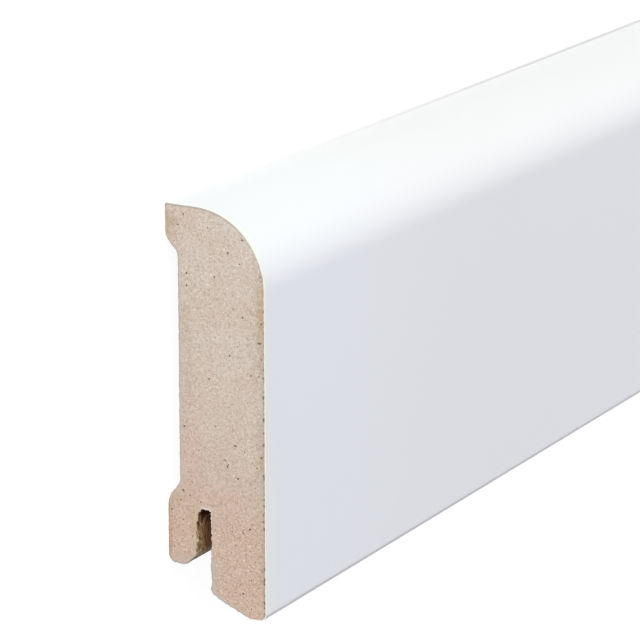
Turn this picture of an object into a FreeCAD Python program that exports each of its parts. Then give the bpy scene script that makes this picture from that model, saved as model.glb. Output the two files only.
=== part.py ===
import FreeCAD, Part
import os
import Sketcher

# One length of wrapped skirting board with a rounded top, lying on its back with its decor face up.
# +X runs along the board, +Y is up once the board stands on its floor, and +Z points out of the wall.
# The origin is under the middle of the board, on the surface that it lies on.
#
# The board is a moulded fibreboard core with a decor foil glued round its top, face and foot. Both are
# drawn as sections across the length, in two measures: the height above the floor that the board will
# stand on, and the depth out from the wall. Every cut, rounding and foil edge follows the sizes below.

SIZES = [
    ("board_length", 2400.0, "length that the stock is sold in, cut square at both ends"),
    ("board_height", 60.0, "floor to the highest line of the top"),
    ("board_depth", 16.0, "wall to decor face"),
    ("foil_thickness", 0.15, "decor foil with its glue"),
    ("top_fall", 0.5, "drop of the top's flat over the whole depth, so that water and dust run off"),
    ("round_over_radius", 11.4, "rounding from the top into the face, on the foil's outside"),
    ("rear_arris_ease", 0.15, "bevel on the top's rear arris, on the foil's outside"),
    ("foot_arris_radius", 1.0, "rounding of the core between face and foot, under the foil"),
    ("foot_width", 2.6, "foot that stands on the floor, measured back from the face"),
    ("heel_rise", 2.9, "height of the heel's rear corner above the floor"),
    ("block_depth", 4.6, "wall to the groove: thickness of the clip block"),
    ("block_foot", 6.75, "floor to the underside of the clip block"),
    ("block_corner_radius", 1.2, "rounding between the clip block's rear and underside"),
    ("groove_width", 2.4, "gap that the wall clip's tongue springs into"),
    ("groove_top", 15.6, "floor to the crown of the groove"),
    ("groove_corner_radius", 0.6, "rounding that the groove cutter leaves at both sides of the crown"),
    ("groove_lead_in", 1.7, "bevel on the clip block at the groove's mouth"),
    ("shoulder_height", 16.7, "floor to where the clip block's sloping shoulder leaves the wall"),
    ("shoulder_radius", 3.5, "rounding of that shoulder's corner"),
    ("relief_depth", 2.0, "depth of the shallow relief behind the board"),
    ("relief_run_out", 2.4, "height over which the relief slopes back to the wall, at both its ends"),
    ("lip_height", 4.8, "top of the board down to where the relief begins"),
]

# How far a cutter stands outside the section that it cuts, in mm
CUTTER_OVERRUN = 2.0
# How near two coordinates of one edge have to be, in mm
EDGE_TOLERANCE = 1e-4
# The most that the foil may share with the core, in cubic mm over the whole length
OVERLAP_LIMIT = 1.0

FACE = "Sizes.board_depth"
CORE_FACE = "(Sizes.board_depth - Sizes.foil_thickness)"
HEEL = "(Sizes.block_depth + Sizes.groove_width)"
FOOT_REAR = "(Sizes.board_depth - Sizes.foot_width)"
LIP_FOOT = "(Sizes.board_height - Sizes.lip_height)"
FOIL_EASE = "Sizes.rear_arris_ease"
# A bevel offset by the foil's thickness is longer by that thickness times the root of two less one
CORE_EASE = "(Sizes.rear_arris_ease + Sizes.foil_thickness * (sqrt(2) - 1))"


def foil_top(depth):
    """Height of the foil's outside on the top's flat: it falls evenly from the eased rear arris."""
    return f"(Sizes.board_height - Sizes.top_fall * ({depth} - {FOIL_EASE}) / Sizes.board_depth)"


def core_top(depth):
    """Height of the core's top at a depth: the foil's outside less the foil."""
    return f"({foil_top(depth)} - Sizes.foil_thickness)"


def size_sheet(doc):
    """The driving dimensions, one named cell each, in millimetres."""
    sheet = doc.addObject("Spreadsheet::Sheet", "Sizes")
    for row, (name, value, meaning) in enumerate(SIZES, start=1):
        sheet.set(f"A{row}", name)
        sheet.set(f"B{row}", str(value))
        sheet.set(f"C{row}", meaning)
        sheet.setAlias(f"B{row}", name)
    doc.recompute()
    return sheet


def new_body(doc, label):
    """A sub-part that is drawn up from the floor and then set down astride the origin."""
    body = doc.addObject("PartDesign::Body", label)
    body.Label = label
    body.setExpression("Placement.Base.y", "-Sizes.board_height / 2")
    return body


def section_sketch(body, name):
    """A sketch across the length: its first axis is the height, its second is the depth."""
    plane = next(item for item in body.Origin.OriginFeatures if item.Role == "YZ_Plane")
    sketch = body.newObject("Sketcher::SketchObject", name)
    sketch.AttachmentSupport = (plane, [""])
    sketch.MapMode = "FlatFace"
    return sketch


def bind(sketch, constraint, name, size):
    """Adds a dimension to a sketch and ties it to the sheet."""
    index = sketch.addConstraint(constraint)
    sketch.renameConstraint(index, name)
    sketch.setExpression(f"Constraints.{name}", size)


def draw_lines(sketch, corners):
    """A closed outline through corners given as (depth, height), each tied to the sheet both ways."""
    places = [
        FreeCAD.Vector(sketch.evalExpression(height), sketch.evalExpression(depth), 0)
        for depth, height in corners
    ]
    lines = [
        sketch.addGeometry(Part.LineSegment(start, end))
        for start, end in zip(places, places[1:] + places[:1])
    ]
    for before, after in zip(lines, lines[1:] + lines[:1]):
        sketch.addConstraint(Sketcher.Constraint("Coincident", before, 2, after, 1))
    for number, (line, place, (depth, height)) in enumerate(zip(lines, places, corners)):
        up = Sketcher.Constraint("DistanceX", -1, 1, line, 1, place.x)
        out = Sketcher.Constraint("DistanceY", -1, 1, line, 1, place.y)
        bind(sketch, up, f"height_{number}", height)
        bind(sketch, out, f"depth_{number}", depth)


def pad_section(body, name, corners):
    """The blank: a section drawn straight through the whole length."""
    sketch = section_sketch(body, f"{name}_section")
    draw_lines(sketch, corners)
    pad = body.newObject("PartDesign::Pad", name)
    pad.Profile = sketch
    pad.SideType = "Symmetric"
    pad.setExpression("Length", "Sizes.board_length")
    body.Document.recompute()
    return pad


def mill(body, name, sketch):
    """Runs a cutter along the whole length, and makes sure that it takes material away."""
    before = body.Shape.Volume
    pocket = body.newObject("PartDesign::Pocket", name)
    pocket.Profile = sketch
    pocket.Type = "ThroughAll"
    pocket.SideType = "Symmetric"
    body.Document.recompute()
    if not body.Shape.Volume < before:
        raise RuntimeError(f"{name} cuts nothing")
    return pocket


def long_edge(feature, depth, height):
    """The name of the edge that runs along the board at one depth and height."""
    want_y, want_z = feature.evalExpression(height), feature.evalExpression(depth)
    for number, edge in enumerate(feature.Shape.Edges, start=1):
        box = edge.BoundBox
        off = max(abs(box.YMin - want_y), abs(box.YMax - want_y), abs(box.ZMin - want_z))
        if off < EDGE_TOLERANCE and abs(box.ZMax - want_z) < EDGE_TOLERANCE:
            return f"Edge{number}"
    raise RuntimeError(f"{feature.Label} has no long edge at depth {want_z}, height {want_y}")


def finish_edge(body, kind, name, depth, height, size):
    """A Fillet or Chamfer along one long edge of what the body is so far."""
    base = body.Tip
    finish = body.newObject(f"PartDesign::{kind}", name)
    finish.Base = (base, [long_edge(base, depth, height)])
    finish.setExpression("Radius" if kind == "Fillet" else "Size", size)
    body.Document.recompute()
    return finish


def make_core(doc):
    """The fibreboard: a blank rounded at its top and face, then milled behind and below."""
    body = new_body(doc, "mdf_core")
    pad_section(
        body,
        "core_blank",
        [
            ("0", "Sizes.foil_thickness"),
            ("0", f"{core_top('0')} - {CORE_EASE}"),
            (CORE_EASE, core_top(CORE_EASE)),
            (CORE_FACE, core_top(CORE_FACE)),
            (CORE_FACE, "Sizes.foil_thickness"),
        ],
    )
    finish_edge(
        body, "Fillet", "core_round_over", CORE_FACE, core_top(CORE_FACE),
        "Sizes.round_over_radius - Sizes.foil_thickness",
    )
    finish_edge(
        body, "Fillet", "core_foot_arris", CORE_FACE, "Sizes.foil_thickness", "Sizes.foot_arris_radius"
    )

    relief = section_sketch(body, "rear_relief_section")
    outside = f"{-CUTTER_OVERRUN}"
    draw_lines(
        relief,
        [
            (outside, "Sizes.shoulder_height"),
            ("0", "Sizes.shoulder_height"),
            ("Sizes.relief_depth", "Sizes.shoulder_height + Sizes.relief_run_out"),
            ("Sizes.relief_depth", f"{LIP_FOOT} - Sizes.relief_run_out"),
            ("0", LIP_FOOT),
            (outside, LIP_FOOT),
        ],
    )
    mill(body, "rear_relief", relief)

    groove = section_sketch(body, "clip_groove_section")
    draw_lines(
        groove,
        [
            ("Sizes.block_depth", outside),
            ("Sizes.block_depth", "Sizes.groove_top"),
            (HEEL, "Sizes.groove_top"),
            (HEEL, outside),
        ],
    )
    mill(body, "clip_groove", groove)
    for name, side in (("groove_crown_rear", "Sizes.block_depth"), ("groove_crown_front", HEEL)):
        finish_edge(body, "Fillet", name, side, "Sizes.groove_top", "Sizes.groove_corner_radius")

    clip_space = section_sketch(body, "clip_space_section")
    draw_lines(
        clip_space,
        [
            (outside, outside),
            (outside, "Sizes.block_foot"),
            (HEEL, "Sizes.block_foot"),
            (HEEL, "Sizes.heel_rise"),
            (FOOT_REAR, "0"),
            (FOOT_REAR, outside),
        ],
    )
    mill(body, "clip_space", clip_space)
    finish_edge(
        body, "Fillet", "shoulder_rounding", "0", "Sizes.shoulder_height", "Sizes.shoulder_radius"
    )
    finish_edge(
        body, "Fillet", "block_corner", "0", "Sizes.block_foot", "Sizes.block_corner_radius"
    )
    finish_edge(
        body, "Chamfer", "groove_lead_in", "Sizes.block_depth", "Sizes.block_foot", "Sizes.groove_lead_in"
    )
    return body


def make_foil(doc):
    """The foil: a strip of even thickness, from the top's rear arris round the face to under the foot.

    The heel's slope is cut after the foil is on, so the foil ends there in the slope's own plane.
    """
    body = new_body(doc, "foil_wrap")
    slope_run = f"({FOOT_REAR} - {HEEL})"
    trimmed = f"{FOOT_REAR} - Sizes.foil_thickness * {slope_run} / Sizes.heel_rise"
    pad_section(
        body,
        "foil_strip",
        [
            ("0", f"{foil_top(FOIL_EASE)} - {FOIL_EASE}"),
            (FOIL_EASE, foil_top(FOIL_EASE)),
            (FACE, foil_top(FACE)),
            (FACE, "0"),
            (FOOT_REAR, "0"),
            (trimmed, "Sizes.foil_thickness"),
            (CORE_FACE, "Sizes.foil_thickness"),
            (CORE_FACE, core_top(CORE_FACE)),
            (CORE_EASE, core_top(CORE_EASE)),
            ("0", f"{core_top('0')} - {CORE_EASE}"),
        ],
    )
    finish_edge(
        body, "Fillet", "foil_round_over", FACE, foil_top(FACE), "Sizes.round_over_radius"
    )
    finish_edge(
        body, "Fillet", "foil_round_over_inside", CORE_FACE, core_top(CORE_FACE),
        "Sizes.round_over_radius - Sizes.foil_thickness",
    )
    finish_edge(
        body, "Fillet", "foil_foot_arris", FACE, "0", "Sizes.foot_arris_radius + Sizes.foil_thickness"
    )
    finish_edge(
        body, "Fillet", "foil_foot_arris_inside", CORE_FACE, "Sizes.foil_thickness",
        "Sizes.foot_arris_radius",
    )
    return body


def check_model(doc, bodies):
    """Stops on a failed object, a loose sketch, a bad solid, or a foil that cuts into its core."""
    for item in doc.Objects:
        if "Invalid" in item.State or "Error" in item.State:
            raise RuntimeError(f"{item.Label} failed: {item.State}")
        if item.isDerivedFrom("Sketcher::SketchObject") and not item.FullyConstrained:
            raise RuntimeError(f"{item.Label} isn't fully constrained")
    for body in bodies:
        if body.Shape.isNull() or not body.Shape.isValid() or len(body.Shape.Solids) != 1:
            raise RuntimeError(f"{body.Label} isn't one valid solid")
    core, foil = bodies
    if core.Shape.common(foil.Shape).Volume > OVERLAP_LIMIT:
        raise RuntimeError("the foil cuts into the core")


def main():
    doc = FreeCAD.newDocument("skirting_board")
    size_sheet(doc)
    bodies = [make_core(doc), make_foil(doc)]
    doc.recompute()
    check_model(doc, bodies)
    os.makedirs("parts", exist_ok=True)
    for body in bodies:
        body.Shape.exportStep(os.path.join("parts", f"{body.Label}.step"))
        box = body.Shape.BoundBox
        print(
            f"{body.Label}: {body.Shape.Volume / 1000:.1f} cm3,"
            f" x {box.XMin:.2f} to {box.XMax:.2f}, y {box.YMin:.2f} to {box.YMax:.2f},"
            f" z {box.ZMin:.2f} to {box.ZMax:.2f}"
        )


main()
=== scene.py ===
import math

import bpy
import numpy as np
from mathutils import Matrix
from mathutils.geometry import delaunay_2d_cdt


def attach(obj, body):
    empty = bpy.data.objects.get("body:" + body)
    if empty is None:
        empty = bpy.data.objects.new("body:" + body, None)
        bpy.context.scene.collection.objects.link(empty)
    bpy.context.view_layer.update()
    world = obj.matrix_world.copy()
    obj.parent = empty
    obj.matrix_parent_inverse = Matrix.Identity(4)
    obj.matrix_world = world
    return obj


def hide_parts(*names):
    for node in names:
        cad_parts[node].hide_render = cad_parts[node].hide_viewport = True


# One length of wrapped fibreboard skirting, lying on its back with its decor face up.
# X runs along the board and the near end is at its lowest X. Y is the board's height once it is
# fitted, and Z is its depth out from the wall. Sections are worked out in millimetres, as rows of
# height above the floor that the board will stand on and depth out from the wall.

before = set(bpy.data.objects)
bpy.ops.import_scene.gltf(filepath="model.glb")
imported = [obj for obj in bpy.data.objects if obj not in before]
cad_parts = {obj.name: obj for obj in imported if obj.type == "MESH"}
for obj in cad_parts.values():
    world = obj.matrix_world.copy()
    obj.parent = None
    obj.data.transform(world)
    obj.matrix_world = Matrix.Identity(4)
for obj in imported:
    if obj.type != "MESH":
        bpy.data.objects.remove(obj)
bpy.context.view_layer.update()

MM = 0.001

# Section of the board, in mm, the same sizes as its solids
LENGTH = 2400.0
HEIGHT = 60.0
DEPTH = 16.0
FOIL = 0.15
TOP_FALL = 0.5
ROUND_OVER = 11.4
ARRIS_EASE = 0.15
FOOT_ARRIS = 1.15
FOOT_WIDTH = 2.6
HEEL_RISE = 2.9
BLOCK_DEPTH = 4.6
BLOCK_FOOT = 6.75
BLOCK_CORNER = 1.2
GROOVE_WIDTH = 2.4
GROOVE_TOP = 15.6
GROOVE_LEAD_IN = 1.7
SHOULDER_HEIGHT = 16.7
SHOULDER_CORNER = 3.5
RELIEF_DEPTH = 2.0
RELIEF_RUN_OUT = 2.4
LIP_HEIGHT = 4.8
HEEL = BLOCK_DEPTH + GROOVE_WIDTH
FOOT_REAR = DEPTH - FOOT_WIDTH
WALL_FOOT = BLOCK_FOOT + 1.4

# Ends of ranges of depth and height that run on out of the board, in mm
PAST_BACK = PAST_FOOT = -1.0
PAST_FACE = DEPTH + 1.0
PAST_TOP = HEIGHT + 1.0

# Small roundings that the cutters and the sander leave, in mm
CUTTER_NOSE = 1.2
CROWN_REAR = 0.9
CROWN_FRONT = 0.35
SANDED_ARRIS = 0.35
MOUTH_ARRIS = 1.4
FIBRE_ARRIS = 0.2

# How finely surfaces are divided, in mm, and how far a fibre may be off its step, as a share of it
SECTION_STEP = 0.3
GROOVE_STEP = 0.17
FOIL_STEP = 0.4
FIBRE_STEP = 0.25
FIBRE_JITTER = 0.4
RIM_STEPS = (0.09, 0.2, 0.38)

# How many points are measured against an outline at a time, to spare memory
BATCH = 2000

# Torn fibres on the groove's rear wall: how many at each end, and in mm how far in they grow, their
# mean distance from the saw cut, lengths and half widths. A share of them stands in one tuft, which
# has its own height and spread.
TORN_FIBRES = 240
TORN_REACH = 6.0
TORN_MEAN = 1.6
TORN_LENGTHS = (0.35, 1.3)
TORN_WIDTHS = (0.02, 0.055)
TUFT_SHARE = 0.3
TUFT_HEIGHT = 10.7
TUFT_SPREAD = 0.25

# Distances of the section rows from a sawn end, in mm: close where torn fibres show, then wide
CORE_ROWS = np.concatenate(
    [
        np.arange(0.0, TORN_REACH, FIBRE_STEP),
        [6.5, 7.5, 9.0, 12.0, 18.0, 30.0, 60.0, 120.0, 250.0, 450.0, 700.0, 950.0, LENGTH / 2],
    ]
)
FOIL_ROWS = np.array(
    [0.0, 0.12, 0.3, 0.7, 1.5, 3.0, 6.0, 12.0, 25.0, 60.0, 150.0, 350.0, 600.0, 900.0, LENGTH / 2]
)

# Pores and bark flecks of the sawn end that are large enough to see, in mm: depth, height, half
# width, and how many times taller than wide
PORES = np.array([
    (2.5, 17.9, 0.21, 1.2),
    (2.1, 16.4, 0.15, 1.0),
    (0.6, 14.8, 0.18, 1.6),
    (5.4, 16.5, 0.15, 0.7),
    (3.6, 17.3, 0.14, 1.0),
    (2.5, 13.5, 0.12, 1.3),
    (1.1, 13.7, 0.11, 1.5),
    (13.4, 13.5, 0.19, 0.8),
    (13.7, 14.3, 0.12, 1.3),
    (12.3, 12.9, 0.15, 1.4),
    (4.0, 11.2, 0.13, 1.2),
    (12.2, 3.7, 0.16, 1.0),
    (13.6, 5.9, 0.12, 1.3),
    (3.0, 58.6, 0.15, 1.7),
    (2.1, 57.0, 0.13, 0.8),
    (6.9, 57.0, 0.12, 1.8),
    (12.4, 55.8, 0.19, 0.6),
    (10.1, 53.7, 0.19, 1.1),
    (3.4, 50.1, 0.17, 1.1),
    (3.4, 48.3, 0.18, 1.2),
    (7.9, 50.0, 0.16, 1.1),
    (15.2, 50.7, 0.15, 1.3),
    (12.0, 52.3, 0.12, 0.9),
    (6.9, 35.0, 0.16, 1.1),
    (10.3, 38.8, 0.16, 1.3),
    (10.9, 45.7, 0.12, 2.2),
    (15.4, 44.0, 0.15, 1.2),
    (15.1, 41.1, 0.22, 0.35),
    (13.7, 36.3, 0.16, 1.0),
    (15.0, 36.3, 0.13, 1.0),
    (12.4, 44.6, 0.17, 0.7),
    (15.4, 38.8, 0.13, 1.0),
    (9.8, 22.4, 0.19, 1.8),
    (9.4, 23.3, 0.13, 1.2),
    (11.5, 20.8, 0.18, 0.9),
    (15.3, 24.4, 0.21, 0.9),
    (14.6, 22.8, 0.15, 1.0),
    (2.8, 27.5, 0.18, 0.9),
    (12.6, 24.9, 0.13, 1.2),
    (7.9, 28.1, 0.12, 2.0),
    (11.1, 25.6, 0.21, 0.6),
    (15.5, 16.0, 0.16, 1.3),
    (15.5, 14.9, 0.15, 1.6),
    (10.5, 12.8, 0.11, 1.0),
    (15.5, 7.5, 0.13, 1.5),
])

# How many smaller pores each end has at random places, and how deep a pore is, in mm
SMALL_PORES = 90
PORE_DEPTH = 0.2

# Burrs that stand out of the near end's outline and, with a minus, nicks, in mm: depth and height of
# the middle, half width, how far it stands out, and how far it runs in from the saw cut
BURRS = np.array([
    (4.6, 10.65, 0.3, 0.5, 0.8),
    (4.6, 9.4, 0.35, -0.12, 0.6),
    (4.6, 13.85, 0.65, 0.3, 1.5),
    (4.6, 11.55, 0.4, -0.12, 1.2),
    (4.6, 10.0, 0.25, -0.12, 1.0),
    (5.05, 15.25, 0.5, 0.56, 1.2),
    (6.8, 15.55, 0.35, 0.25, 1.0),
    (7.0, 10.4, 0.8, -0.1, 1.0),
    (7.0, 7.0, 1.6, 0.07, 1.0),
    (7.0, 4.65, 0.35, -0.18, 1.0),
    (7.0, 3.65, 0.3, 0.12, 1.0),
    (7.0, 3.0, 0.35, -0.28, 1.0),
    (0.2, 7.4, 0.45, -0.12, 1.0),
    (0.2, 16.5, 0.4, -0.1, 1.0),
    (1.2, 18.2, 1.1, -0.12, 3.0),
    (1.6, 53.4, 0.5, -0.12, 3.0),
    (0.2, 55.25, 0.25, -0.16, 0.8),
])

# Stains of the near end: for each kind, the seed of its patchiness and then, in mm, depth and height
# of the middle, reach in depth, reach in height, and how strong it is. The dense ones are the panel's
# two pressed skins.
STAINS = {
    "dense": (
        66,
        (15.9, 44.0, 2.6, 9.5, 1.05),
        (15.9, 24.5, 1.6, 7.0, 1.15),
        (15.8, 7.5, 0.8, 5.0, 1.35),
        (15.85, 12.5, 0.3, 3.5, 1.1),
        (3.2, 41.0, 1.4, 13.0, 0.5),
        (0.3, 57.3, 1.8, 2.2, 1.2),
        (0.0, 57.9, 0.35, 2.4, 1.1),
        (0.1, 11.3, 0.45, 4.5, 1.6),
        (7.1, 5.9, 0.6, 3.0, 1.5),
        (10.0, 38.5, 6.5, 3.0, 0.25),
    ),
    "ochre": (
        64,
        (15.8, 46.0, 0.95, 5.5, 1.4),
        (0.3, 11.3, 0.5, 4.0, 0.4),
        (15.1, 23.3, 0.5, 1.0, 0.8),
        (14.7, 1.9, 0.8, 0.9, 0.6),
    ),
    "straw": (
        68,
        (3.9, 12.8, 0.8, 3.2, 0.6),
        (0.6, 57.1, 0.6, 1.6, 0.4),
        (1.0, 17.0, 1.3, 1.6, 0.9),
    ),
    "rose": (
        65,
        (15.5, 7.5, 0.6, 4.5, 0.6),
        (0.6, 11.3, 0.5, 2.0, 1.0),
        (8.4, 17.6, 3.6, 2.0, 0.75),
        (11.5, 17.5, 2.6, 1.2, 0.5),
        (3.4, 23.8, 2.4, 5.4, 1.05),
        (8.0, 26.0, 9.0, 6.0, 0.15),
    ),
    "grey": (
        63,
        (7.1, 5.9, 0.9, 3.0, 1.2),
        (2.6, 7.5, 2.0, 0.9, 0.55),
        (15.8, 8.0, 0.5, 5.0, 0.3),
        (0.2, 57.8, 0.8, 2.2, 0.35),
        (0.2, 11.5, 0.4, 4.5, 0.25),
        (9.3, 57.9, 1.0, 0.5, 0.4),
        (0.9, 17.6, 1.0, 1.2, 0.3),
        (2.0, 42.0, 0.45, 12.0, 0.5),
    ),
}

# How far the stains run in along the board, in mm
STAIN_RUN_IN = 2.0

# Neighbouring faces that meet at less than this angle are shaded as one surface
CREASE = math.radians(40.0)


# Sections

def unit(vectors):
    """Each row divided by its own length."""
    return vectors / np.maximum(np.linalg.norm(vectors, axis=-1, keepdims=True), 1e-12)


def section_path(corners, closed):
    """Points of a section, in mm, as rows of height and depth.

    Each corner is (depth, height, radius, step). Its arc touches the two runs that meet there, so
    it starts and ends at the radius over the tangent of half the angle between them, and its middle
    lies on their bisector. A point of the arc is the middle plus the radius times a direction that
    turns evenly from the one end to the other. The arc and the run after it are divided about one
    step apart.
    """
    places = np.array([(height, depth) for depth, height, radius, step in corners], float)
    pieces = []
    for number, (*_, radius, step) in enumerate(corners):
        corner = places[number]
        at_end = not closed and number in (0, len(corners) - 1)
        if radius == 0.0 or at_end:
            pieces.append(corner[None])
            continue
        back = unit(places[number - 1] - corner)
        ahead = unit(places[(number + 1) % len(corners)] - corner)
        half = math.acos(np.clip(back @ ahead, -1, 1)) / 2
        middle = corner + unit(back + ahead) * radius / math.sin(half)
        start = (corner + back * radius / math.tan(half) - middle) / radius
        end = (corner + ahead * radius / math.tan(half) - middle) / radius
        turn = math.pi - 2 * half
        share = np.linspace(0, 1, max(4, math.ceil(turn * radius / step)) + 1)[:, None]
        swept = (np.sin((1 - share) * turn) * start + np.sin(share * turn) * end) / math.sin(turn)
        pieces.append(middle + radius * swept)
    points = []
    for number, piece in enumerate(pieces):
        points.append(piece)
        if closed or number < len(pieces) - 1:
            following = pieces[(number + 1) % len(pieces)][0]
            run = np.linalg.norm(following - piece[-1])
            share = np.linspace(0, 1, max(1, math.ceil(run / corners[number][3])) + 1)[1:-1, None]
            points.append(piece[-1] + (following - piece[-1]) * share)
    points = np.concatenate(points)
    gap = np.linalg.norm(points - np.roll(points, 1, 0), axis=1)
    return points[gap > 1e-6] if closed else points


def outward(path, closed=True):
    """Outward direction at each point of a path that keeps its solid on the right: the mean of the
    square-on directions of the two sides that meet there, lengthened so that both sides move by
    the same distance, but less so at corners too sharp for that."""
    ahead = unit(np.roll(path, -1, 0) - path)
    behind = np.roll(ahead, 1, 0)
    if not closed:
        ahead[-1] = behind[-1]
        behind[0] = ahead[0]
    tangent = unit(ahead + behind)
    stretch = 1 / np.maximum((tangent * ahead).sum(1, keepdims=True), 0.6)
    return np.stack([-tangent[:, 1], tangent[:, 0]], 1) * stretch


def unevenness(points, pitch, seed):
    """Uneven field, mostly from -1 to 1: the sum of plane waves in random directions, each about
    a pitch long and with its own phase, over the root of half their number and times 0.6."""
    random = np.random.default_rng(seed)
    waves = 36
    directions = unit(random.normal(size=(waves, points.shape[-1])))
    lengths = pitch * random.uniform(0.7, 1.7, waves)
    phases = random.uniform(0, 2 * math.pi, waves)
    angles = points @ (directions * 2 * math.pi / lengths[:, None]).T + phases
    return np.sin(angles).sum(-1) / math.sqrt(waves / 2) * 0.6


def between(values, low, high, blur):
    """1 inside a range and 0 outside it, with a straight ramp as wide as the blur at each end."""
    return np.clip((values - low) / blur + 0.5, 0, 1) * np.clip((high - values) / blur + 0.5, 0, 1)


def top_of_core(depth):
    """Height of the core's top at a depth: it falls evenly towards the face, under the foil."""
    return HEIGHT - TOP_FALL * (depth - ARRIS_EASE) / DEPTH - FOIL


core_ease = ARRIS_EASE + FOIL * (math.sqrt(2) - 1)
core_face = DEPTH - FOIL
heel_slope = (FOOT_REAR - HEEL) / HEEL_RISE

CORE_OUTLINE = section_path(
    [
        (core_face, FOIL, FOOT_ARRIS - FOIL, SECTION_STEP),
        (core_face, top_of_core(core_face), ROUND_OVER - FOIL, SECTION_STEP),
        (core_ease, top_of_core(core_ease), 0.0, SECTION_STEP),
        (0.0, top_of_core(0.0) - core_ease, 0.0, SECTION_STEP),
        (0.0, HEIGHT - LIP_HEIGHT, SANDED_ARRIS, SECTION_STEP),
        (RELIEF_DEPTH, HEIGHT - LIP_HEIGHT - RELIEF_RUN_OUT, CUTTER_NOSE, SECTION_STEP),
        (RELIEF_DEPTH, SHOULDER_HEIGHT + RELIEF_RUN_OUT, CUTTER_NOSE, SECTION_STEP),
        (0.0, SHOULDER_HEIGHT, SHOULDER_CORNER, SECTION_STEP),
        (0.0, BLOCK_FOOT, BLOCK_CORNER, GROOVE_STEP),
        (BLOCK_DEPTH - GROOVE_LEAD_IN, BLOCK_FOOT, MOUTH_ARRIS, GROOVE_STEP),
        (BLOCK_DEPTH, BLOCK_FOOT + GROOVE_LEAD_IN, SANDED_ARRIS, GROOVE_STEP),
        (BLOCK_DEPTH, GROOVE_TOP, CROWN_REAR, GROOVE_STEP),
        (HEEL, GROOVE_TOP, CROWN_FRONT, GROOVE_STEP),
        (HEEL, HEEL_RISE, FIBRE_ARRIS, GROOVE_STEP),
        (FOOT_REAR - FOIL * heel_slope, FOIL, 0.0, SECTION_STEP),
    ],
    closed=True,
)


def parts_of_section(height, depth):
    """How far each place of a section belongs to each part that the tools leave its own way, from 0
    to 1: the groove, its crown, its front and rear walls, the bevel at its mouth, the undersides, and
    the sides that the foil covers."""
    in_groove = between(depth, BLOCK_DEPTH - 0.3, HEEL + 0.3, 0.2)
    in_groove = in_groove * between(height, WALL_FOOT, GROOVE_TOP + 0.9, 0.6)
    walls = between(height, WALL_FOOT, GROOVE_TOP, 0.6)
    from_lead_in = depth - height - (BLOCK_DEPTH - BLOCK_FOOT - GROOVE_LEAD_IN)
    lead_in = between(depth, BLOCK_DEPTH - GROOVE_LEAD_IN, BLOCK_DEPTH, 0.2)
    undersides = between(height, PAST_FOOT, BLOCK_FOOT + 0.4, 0.8)
    face = between(depth, core_face - 0.2, PAST_FACE, 0.1)
    top = between(height, HEIGHT - 2.0, PAST_TOP, 0.5)
    round_over = between(depth, 6.0, PAST_FACE, 0.5) * between(height, HEIGHT - 15.0, PAST_TOP, 0.5)
    foot = between(depth, FOOT_REAR - 0.2, PAST_FACE, 0.1) * between(height, PAST_FOOT, 1.3, 0.1)
    return {
        "groove": in_groove,
        "crown": in_groove * between(height, GROOVE_TOP - 1.3, GROOVE_TOP + 1.4, 0.6),
        "front": between(depth, HEEL - 0.2, HEEL + 0.7, 0.2) * walls,
        "rear": between(depth, BLOCK_DEPTH - 0.7, BLOCK_DEPTH + 1.4, 0.3) * walls,
        "bevel": between(from_lead_in, -0.5, 0.3, 0.2) * lead_in,
        "underside": undersides * between(depth, PAST_BACK, FOOT_REAR, 0.4),
        "covered": np.maximum.reduce([face, top, round_over, foot]),
    }


# Fibreboard

def nearest_side(points, outline):
    """Distance of each point from a closed outline, and whether it lies inside.

    The distance is to the nearest point of each side, held between the side's ends. A point is
    inside when a line from it along the height crosses the outline an odd number of times.
    """
    start, end = outline, np.roll(outline, -1, 0)
    side = end - start
    length = (side ** 2).sum(1)
    distance = np.empty(len(points))
    inside = np.empty(len(points), bool)
    for first in range(0, len(points), BATCH):
        batch = slice(first, first + BATCH)
        some = points[batch, None]
        share = np.clip(((some - start) * side).sum(2) / length, 0, 1)
        gaps = np.linalg.norm(some - start - share[..., None] * side, axis=2)
        distance[batch] = gaps.min(1)
        spans = (start[:, 1] > some[..., 1]) != (end[:, 1] > some[..., 1])
        slope = side[:, 0] / np.where(side[:, 1] == 0, 1e-12, side[:, 1])
        crosses = spans & (some[..., 0] < start[:, 0] + (some[..., 1] - start[:, 1]) * slope)
        inside[batch] = crosses.sum(1) % 2 == 1
    return distance, inside


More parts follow.
